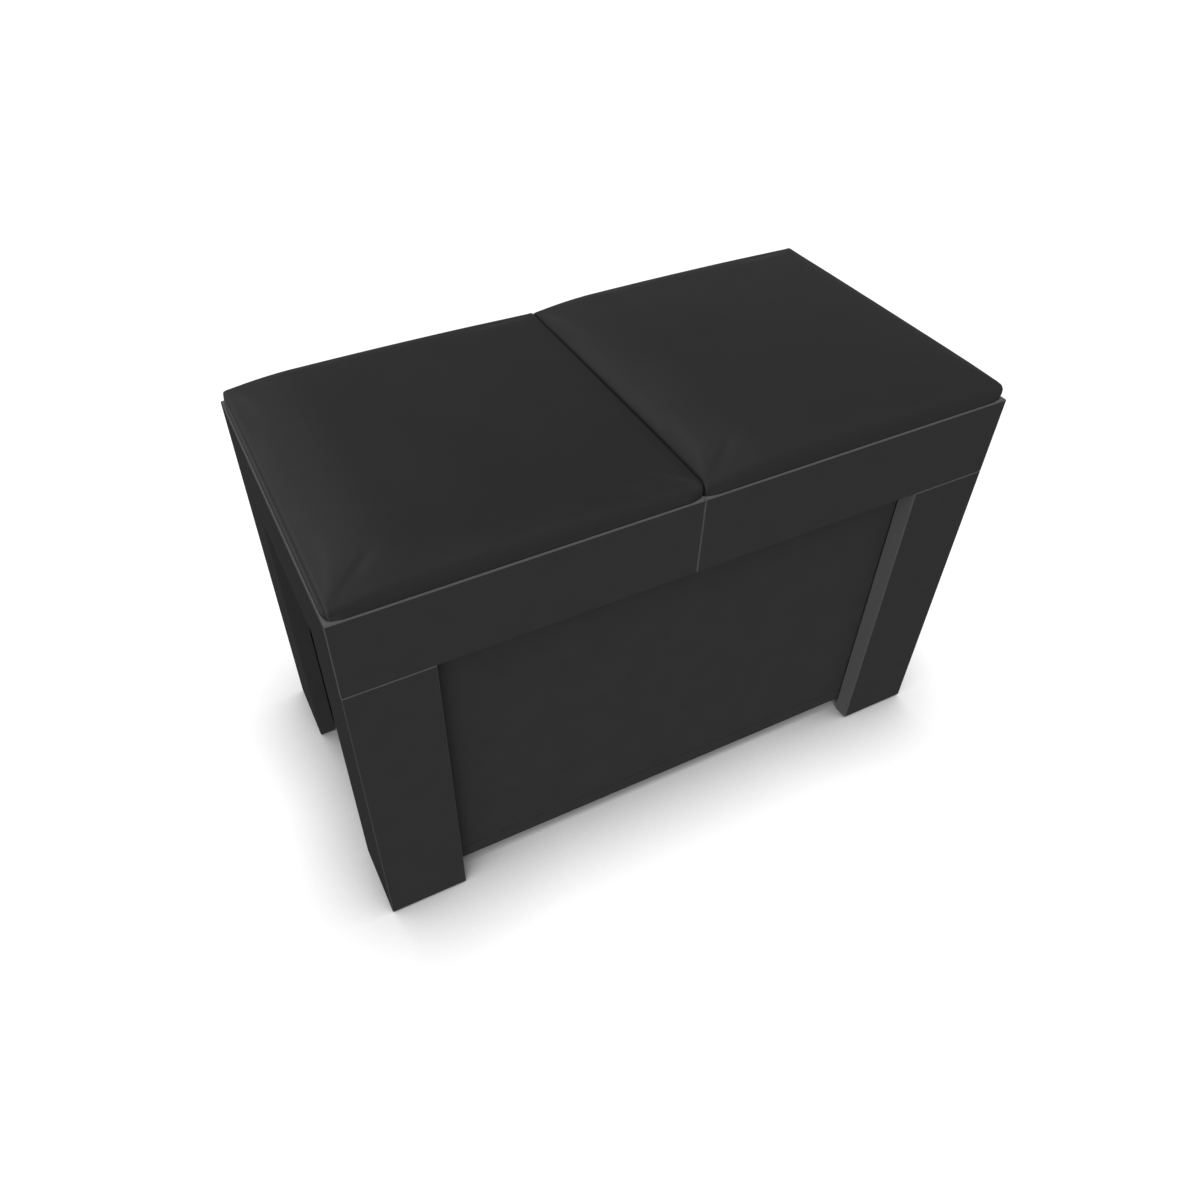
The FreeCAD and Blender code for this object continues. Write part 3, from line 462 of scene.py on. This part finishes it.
# %% Plastics and felt
def moulded(name, light, dark, roughness, fine_scale, depth):
    """A moulded plastic with the fine texture of its mould."""
    material, tree, shader = new_finish(name, roughness=roughness, specular=0.4)
    speckle = add_speckle(tree, place_on_object(tree), 50.0, fine_scale)
    tree.links.new(between(tree, speckle["Mottle"], dark, light), shader.inputs["Base Color"])
    spread = into_range(tree, speckle["Mottle"], roughness - 0.06, roughness + 0.06)
    tree.links.new(spread, shader.inputs["Roughness"])
    tree.links.new(bump(tree, speckle["Fine"], depth, 0.3), shader.inputs["Normal"])
    return material


def nylon():
    """Undyed nylon of the glides and liners."""
    return moulded("nylon", (0.76, 0.74, 0.67), (0.66, 0.63, 0.56), 0.42, 900.0, 0.05 * MM)


def black_plastic():
    """The box's moulded feet."""
    return moulded("black_plastic", (0.03, 0.03, 0.031), (0.02, 0.02, 0.021), 0.55, 1500.0, 0.1 * MM)


def felt():
    """Pressed felt under the legs."""
    material, tree, shader = new_finish("felt", roughness=0.95, specular=0.1)
    shader.inputs["Sheen Weight"].default_value = 0.3
    speckle = add_speckle(tree, place_on_object(tree), 180.0, 1600.0)
    colour = between(tree, speckle["Fine"], (0.02, 0.02, 0.02), (0.07, 0.068, 0.066))
    tree.links.new(colour, shader.inputs["Base Color"])
    tree.links.new(into_range(tree, speckle["Mottle"], 0.88, 1.0), shader.inputs["Roughness"])
    tree.links.new(bump(tree, speckle["Fine"], 0.5 * MM, 0.8), shader.inputs["Normal"])
    return material


# %% [markdown]
# ## Dress the CAD pieces
# The record names a slot for each piece. A board's axis is the way it is thinnest, and a wooden
# strip's grain runs the way that it is long, so most axes come from the piece's box. A node that
# holds several loose pieces has a box round them all, so those are named.

# %% Give each CAD node its finish
MADE_ALONG_AN_AXIS = {"black_board": black_board, "plywood": plywood, "beech": beech}
MADE_ALIKE = {
    "anodised_aluminium": anodised_aluminium, "zinc_steel": zinc_steel, "nylon": nylon,
    "black_plastic": black_plastic, "felt": felt,
}
NAMED_AXES = {
    "corner_blocks": "z", "corner_battens": "z", "leaf_battens": "z", "leg_tenons": "z",
    "leaf_racks": "y", "box_bottom_board": "wrapped", "leg_side": "wrapped",
}


def axis_of(node, slot):
    """The axis that a piece's finish follows."""
    for ending, axis in NAMED_AXES.items():
        if node.endswith(ending):
            return axis
    low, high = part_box(node)
    by_length = sorted("xyz", key=lambda axis: (high - low)["xyz".index(axis)])
    return by_length[0] if slot == "black_board" else by_length[-1]


finishes = {}


def finish_of(node, slot):
    """The finish of a piece, made the first time that it is asked for."""
    axis = axis_of(node, slot) if slot in MADE_ALONG_AN_AXIS else None
    if (slot, axis) not in finishes:
        finishes[slot, axis] = MADE_ALONG_AN_AXIS[slot](axis) if axis else MADE_ALIKE[slot]()
    return finishes[slot, axis]


for part in frame["record"]["subparts"]:
    node, slot = part["node"], part["material_slot"]
    if slot == "leatherette":
        continue
    materials = frame["nodes"][node].data.materials
    materials.clear()
    materials.append(finish_of(node, slot))
print("finishes", sorted(material.name for material in finishes.values()))

# %% [markdown]
# ## Leatherette
# The pads are covered in black imitation leather: a soft film embossed with small pebbles. A
# texture of cells makes the pebbles and finer noise breaks them up, as one height that drives the
# bump. The valleys are a touch rougher than the tops. Where the cover turns down over the foam's
# edge its colour is darker as painted shade, slightly along the sides and clearly at the two ends.

# %% Leatherette
PEBBLES_PER_METRE = 720
FINE_SHARE = 0.25
COVER_TOP = ((0.0155, 0.0155, 0.0159), (0.0185, 0.0185, 0.0189))
COVER_SIDE_SHADE = (0.016, 0.016, 0.0164)
COVER_END_SHADE = (0.0055, 0.0055, 0.0056)


def leatherette(top, end):
    """The cover of a pad whose top and whose ends look along two axes."""
    material, tree, shader = new_finish(f"leatherette_{top}", roughness=0.42, specular=0.009)
    vector = place_on_object(tree)
    speckle = add_speckle(tree, vector, 14.0, 2600.0)
    pebbles = add_node(tree, "ShaderNodeTexVoronoi", feature="SMOOTH_F1")
    pebbles.inputs["Scale"].default_value = PEBBLES_PER_METRE
    tree.links.new(vector, pebbles.inputs["Vector"])
    height = add_node(tree, "ShaderNodeMath", operation="MULTIPLY_ADD")
    height.inputs[1].default_value = FINE_SHARE
    tree.links.new(speckle["Fine"], height.inputs[0])
    tree.links.new(pebbles.outputs["Distance"], height.inputs[2])
    colour = between(tree, speckle["Mottle"], *COVER_TOP)
    # Painted shade: the cover is coloured darker where it turns down at the sides, and much darker at the
    # two ends.
    painted_side_shade = add_group(tree, EDGE_GROUP, Face_Axis=AXES[top]).outputs["Edge"]
    colour = between(tree, painted_side_shade, colour, COVER_SIDE_SHADE)
    painted_end_shade = add_group(tree, EDGE_GROUP, Face_Axis=AXES[end]).outputs["Edge"]
    colour = between(tree, painted_end_shade, COVER_END_SHADE, colour)
    tree.links.new(colour, shader.inputs["Base Color"])
    tree.links.new(into_range(tree, pebbles.outputs["Distance"], 0.38, 0.46), shader.inputs["Roughness"])
    tree.links.new(bump(tree, height.outputs[0], -0.12 * MM, 0.2), shader.inputs["Normal"])
    return material


# %% [markdown]
# ## The pads
# A pad is a sheet of foam on plywood with a cover pulled over it and stapled underneath. The cover
# rounds the foam's edge, which stands almost upright over the frame, and from there the top rises
# in an arc that flattens towards the middle. The block is modelled as by hand: a cube with round
# corners, whose top is drawn up and in, row by row, to a rolled edge. It is remeshed evenly, its
# top is crowned point by point, because rows drawn in would meet in a ridge at each corner, and it
# is blown up a little as cloth, with its foot held where the staples hold it. The block reaches
# below the foot, so that the remesh rounds an edge that is cut off later.


# %% Modelling helpers
def start_piece(name, size, middle):
    """A cube of the given size, alone in the selection."""
    bpy.ops.object.select_all(action="DESELECT")
    bpy.ops.mesh.primitive_cube_add(size=1, location=middle)
    piece = bpy.context.object
    piece.name = name
    piece.data.name = name
    piece.scale = size
    bpy.ops.object.transform_apply(location=True, rotation=True, scale=True)
    return piece


def choose(piece, kind, wanted):
    """Goes to edit mode with only the wanted edges or faces selected."""
    bpy.ops.object.mode_set(mode="OBJECT")
    mesh = piece.data
    for elements in (mesh.vertices, mesh.edges, mesh.polygons):
        elements.foreach_set("select", [False] * len(elements))
    for element in {"EDGE": mesh.edges, "FACE": mesh.polygons}[kind]:
        element.select = wanted(element)
    bpy.context.tool_settings.mesh_select_mode = (False, kind == "EDGE", kind == "FACE")
    bpy.ops.object.mode_set(mode="EDIT")


def upright(piece):
    """Chooses edges that stand along Z."""
    def wanted(edge):
        start, end = (piece.data.vertices[number].co for number in edge.vertices)
        return abs(start.z - end.z) > max(abs(start.x - end.x), abs(start.y - end.y))
    return wanted


# %% Model a pad
PAD_CORNER = 2.5 * MM
SKIRT = 9 * MM
SIDE_HEIGHT = 6 * MM
ROLL_HEIGHT = 7.5 * MM
ROLL_STEPS = (18, 36, 54, 72, 86)
LEFT_ROLL, RIGHT_ROLL = 3.5 * MM, 1.5 * MM
FRONT_ROLL, BACK_ROLL = 9 * MM, 4 * MM
SWELL = 0.5 * MM


def row_ends(size, angle):
    """Where a row of the edge starts and ends along X and Y, once the edge has turned by the angle."""
    drawn_in = 1 - math.cos(angle)
    rolls = ((LEFT_ROLL, RIGHT_ROLL), (FRONT_ROLL, BACK_ROLL))
    return [(-side / 2 + low * drawn_in, side / 2 - high * drawn_in)
            for side, (low, high) in zip(size, rolls)]


def pad_block(name, length, depth):
    """A block with a rolled edge about the origin, with its foot at height 0 and a skirt below that."""
    size = Vector((length - 2 * SWELL, depth - 2 * SWELL, SIDE_HEIGHT + SKIRT))
    piece = start_piece(name, size, (0, 0, (SIDE_HEIGHT - SKIRT) / 2))
    choose(piece, "EDGE", upright(piece))
    bpy.ops.mesh.bevel(offset=PAD_CORNER, segments=4)
    choose(piece, "FACE", lambda face: face.normal.z > 0.5)
    height, row = SIDE_HEIGHT, row_ends(size, 0)
    for step in ROLL_STEPS:
        angle = math.radians(step)
        rise = SIDE_HEIGHT + ROLL_HEIGHT * math.sin(angle) - height
        bpy.ops.mesh.extrude_region_move(TRANSFORM_OT_translate={"value": (0, 0, rise)})
        height += rise
        next_row = row_ends(size, angle)
        shares = [(new[1] - new[0]) / (old[1] - old[0]) for new, old in zip(next_row, row)]
        fixed = [(new[0] - old[0] * share) / (1 - share)
                 for new, old, share in zip(next_row, row, shares)]
        bpy.ops.transform.resize(value=(*shares, 1), center_override=(*fixed, height))
        row = next_row
    bpy.ops.object.mode_set(mode="OBJECT")
    return piece


# %% Fit a cover
VOXEL = 3.2 * MM
CROWN_RISE = 12.5 * MM
LEFT_SLOPE, FRONT_SLOPE = 76 * MM, 60 * MM
FALL = 0.8
FRONT_LIFT = 0.4
END_BOW, FRONT_BOW = 0.1 * MM, 0.2 * MM
CORNER_REACH = 14 * MM
CORNER_TUCK = 3 * MM
TUCK_HEIGHT = 11 * MM


def scaled_to(piece, size):
    """Stretches a pad evenly so that its widest points and its top are where they should be."""
    corners = [Vector(corner) for corner in piece.bound_box]
    width = [max(corner[axis] for corner in corners) for axis in range(3)]
    factors = (size[0] / 2 / width[0], size[1] / 2 / width[1], size[2] / width[2], 1)
    piece.data.transform(Matrix.Diagonal(factors))
    piece.data.update()


def dome(distance, slope, side):
    """Rises from 0 to 1 over the slope, steeply at first, then falls slowly to the far end of the side."""
    if distance < slope:
        return 1 - (1 - max(distance, 0) / slope) ** 2
    return 1 - FALL * ((distance - slope) / (side - slope)) ** 2


def crown(piece, length, depth):
    """Lifts the top to a dome that is highest near the front left."""
    for vertex in piece.data.vertices:
        if vertex.co.z < SIDE_HEIGHT:
            continue
        x, y, z = vertex.co
        lengthwise = dome(length / 2 + x, LEFT_SLOPE, length)
        across = FRONT_LIFT + (1 - FRONT_LIFT) * dome(depth / 2 + y, FRONT_SLOPE, depth)
        share = min((z - SIDE_HEIGHT) / ROLL_HEIGHT, 1)
        vertex.co.z += CROWN_RISE * lengthwise * across * share


def pull_cover(piece, length, depth):
    """Pulls the sides in a little between the corners, and tucks the cover in at each corner's foot."""
    half = Vector((length / 2, depth / 2))
    for vertex in piece.data.vertices:
        x, y, z = vertex.co
        along_x, along_y = math.cos(math.pi * x / length), math.cos(math.pi * y / depth)
        vertex.co.x -= END_BOW * along_y * x / half.x
        vertex.co.y -= FRONT_BOW * along_x * y / half.y
        near = [1 - (half[axis] - abs(vertex.co[axis])) / CORNER_REACH for axis in (0, 1)]
        low = 1 - z / TUCK_HEIGHT
        if min(near) > 0 and low > 0:
            tuck = CORNER_TUCK * near[0] * near[1] * min(low, 1)
            vertex.co.x -= math.copysign(tuck, x)
            vertex.co.y -= math.copysign(tuck, y)


# %% Blow a pad up as cloth
SIM_FRAMES = 20
PRESSURE = 4.0
SWELL_LIMIT = 1.0 * MM
HELD_HEIGHT = 2 * MM


def blow_up(piece):
    """Runs the pad as cloth under pressure, with its foot held, and limits how far each point goes."""
    held = piece.vertex_groups.new(name="held")
    at_foot = [vertex.index for vertex in piece.data.vertices if vertex.co.z < HELD_HEIGHT]
    held.add(at_foot, 1.0, "REPLACE")
    before = [vertex.co.copy() for vertex in piece.data.vertices]
    cloth = piece.modifiers.new("cover", "CLOTH")
    cloth.settings.vertex_group_mass = held.name
    cloth.settings.use_pressure = True
    cloth.settings.uniform_pressure_force = PRESSURE
    cloth.settings.effector_weights.gravity = 0
    cloth.point_cache.frame_end = SIM_FRAMES
    for number in range(1, SIM_FRAMES + 1):
        scene.frame_set(number)
    bpy.ops.object.modifier_apply(modifier=cloth.name)
    furthest = 0.0
    for vertex, start in zip(piece.data.vertices, before):
        move = vertex.co - start
        furthest = max(furthest, move.length)
        if move.length > SWELL_LIMIT:
            vertex.co = start + move * (SWELL_LIMIT / move.length)
    scene.frame_set(1)
    piece.vertex_groups.clear()
    print(piece.name, "swelled by up to", round(furthest / MM, 2), "mm before the limit")


def apply_modifier(piece, kind, **settings):
    """Adds a modifier to the active piece and applies it."""
    modifier = piece.modifiers.new(kind.lower(), kind)
    for name, setting in settings.items():
        setattr(modifier, name, setting)
    bpy.ops.object.modifier_apply(modifier=modifier.name)


# %% [markdown]
# Underneath, the cover goes round a plywood base. The base is a CAD piece and keeps showing from
# below, so the skirt is cut off at the foot and the pad gets a recess of just the base's shape: a
# second block with its corners cut, taken away from the first.

# %% Cut the recess and make the pads
BASE_COVER = 3 * MM
BASE_CUT = 6 * MM
BASE_THICKNESS = 9 * MM
BELOW = 4 * MM
SMOOTH_ANGLE = math.radians(40)


def select_only(piece):
    """Makes one piece active, alone in the selection."""
    bpy.ops.object.select_all(action="DESELECT")
    bpy.context.view_layer.objects.active = piece
    piece.select_set(True)


def cut_foot(piece):
    """Cuts the skirt off and closes the foot."""
    select_only(piece)
    bpy.ops.object.mode_set(mode="EDIT")
    bpy.ops.mesh.select_all(action="SELECT")
    bpy.ops.mesh.bisect(plane_co=(0, 0, 0), plane_no=(0, 0, 1), clear_inner=True, use_fill=True)
    bpy.ops.object.mode_set(mode="OBJECT")


def cut_recess(piece, length, depth):
    """Takes the base's shape out of the pad from below."""
    size = (length - 2 * BASE_COVER, depth - 2 * BASE_COVER, BASE_THICKNESS + BELOW)
    base = start_piece("base_form", size, (0, 0, (BASE_THICKNESS - BELOW) / 2))
    choose(base, "EDGE", upright(base))
    bpy.ops.mesh.bevel(offset=BASE_CUT, segments=1)
    bpy.ops.object.mode_set(mode="OBJECT")
    select_only(piece)
    apply_modifier(piece, "BOOLEAN", operation="DIFFERENCE", object=base, solver="EXACT")
    bpy.data.objects.remove(base)


def make_pad(name, size, cover):
    """A pad about the origin, still with its skirt."""
    piece = pad_block(name, size.x, size.y)
    piece.data.remesh_voxel_size = VOXEL
    bpy.ops.object.voxel_remesh()
    crown(piece, size.x, size.y)
    apply_modifier(piece, "SMOOTH", factor=0.5, iterations=2)
    blow_up(piece)
    apply_modifier(piece, "SMOOTH", factor=0.5, iterations=1)
    scaled_to(piece, size)
    pull_cover(piece, size.x, size.y)
    apply_modifier(piece, "SUBSURF", levels=1, render_levels=1)
    piece.data.materials.append(cover)
    return piece


def finish_pad(piece, node, size, place, shift=0):
    """Cuts a pad out underneath, puts it where its CAD solid is, hides that solid, fixes the pad to its
    body and prints how far it stands out.
    """
    piece.data.transform(Matrix.Translation((shift, 0, 0)))
    cut_foot(piece)
    cut_recess(piece, size.x, size.y)
    bpy.ops.object.shade_smooth_by_angle(angle=SMOOTH_ANGLE)
    piece.data.transform(place)
    piece.data.update()
    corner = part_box(node)[1]
    reach = [max(vertex.co[axis] for vertex in piece.data.vertices) for axis in range(3)]
    stands_out = [round((reach[axis] - corner[axis]) / MM, 2) for axis in range(3)]
    padded_only.objects.link(piece)
    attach(piece, frame["nodes"][node]["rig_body"])
    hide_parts(node)
    print(piece.name, len(piece.data.polygons), "faces; stands out by", stands_out, "mm")


def copy_of(piece, name):
    """A copy of a pad with a mesh of its own."""
    twin = piece.copy()
    twin.data = piece.data.copy()
    twin.name = name
    twin.data.name = name
    scene.collection.objects.link(twin)
    return twin


def middle_of(node):
    """The middle of a CAD node's box."""
    low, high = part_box(node)
    return (low + high) / 2


# %% [markdown]
# Both seat pads lie the same way round, with the longer slope on the left. Their covers stand a
# little proud of the CAD solids at the outer sides, so that only a narrow strip of the frame's top
# shows, and at the seam they are pressed flat against each other.

# %% Seat pads
END_REACH = 2.4 * MM
FRONT_REACH = 3.4 * MM
SEAM_PRESS = 2 * MM
SEAM_GAP = 0.05 * MM


def press_flat(piece, side):
    """Flattens what would reach into the other pad."""
    for vertex in piece.data.vertices:
        vertex.co.x = side * max(side * vertex.co.x, SEAM_GAP)
    piece.data.update()


low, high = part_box("left_seat_cushion")
seat_size = high - low
covered = Vector((SEAM_PRESS - low.x + END_REACH, seat_size.y + 2 * FRONT_REACH, seat_size.z))
left_pad = make_pad("left_pad", covered, leatherette("z", "x"))
right_pad = copy_of(left_pad, "right_pad")
for pad, side in ((left_pad, -1), (right_pad, 1)):
    node = pad.name.replace("pad", "seat_cushion")
    middle = middle_of(node)
    shift = side * (covered.x / 2 - SEAM_PRESS) - middle.x
    middle.z = low.z
    finish_pad(pad, node, seat_size, Matrix.Translation(middle), shift)
    press_flat(pad, side)
print("seat cushions", [round(side / MM, 2) for side in (*low, *high)])

# %% [markdown]
# The three leaves that fill the gap are padded in the same way. They stand on edge in the box,
# their length upright and their padding to the back.

# %% Leaf pads
low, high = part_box("leaf_1_cushion")
leaf_size = Vector((high.z - low.z, high.x - low.x, high.y - low.y))
on_edge = Matrix.Rotation(math.radians(-120), 4, Vector((1, 1, 1)))
first_leaf = make_pad("leaf_1_pad", leaf_size, leatherette("y", "z"))
leaves = [first_leaf, copy_of(first_leaf, "leaf_2_pad"), copy_of(first_leaf, "leaf_3_pad")]
for number, pad in enumerate(leaves, start=1):
    node = f"leaf_{number}_cushion"
    middle = middle_of(node)
    middle.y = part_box(node)[0].y
    finish_pad(pad, node, leaf_size, Matrix.Translation(middle) @ on_edge)
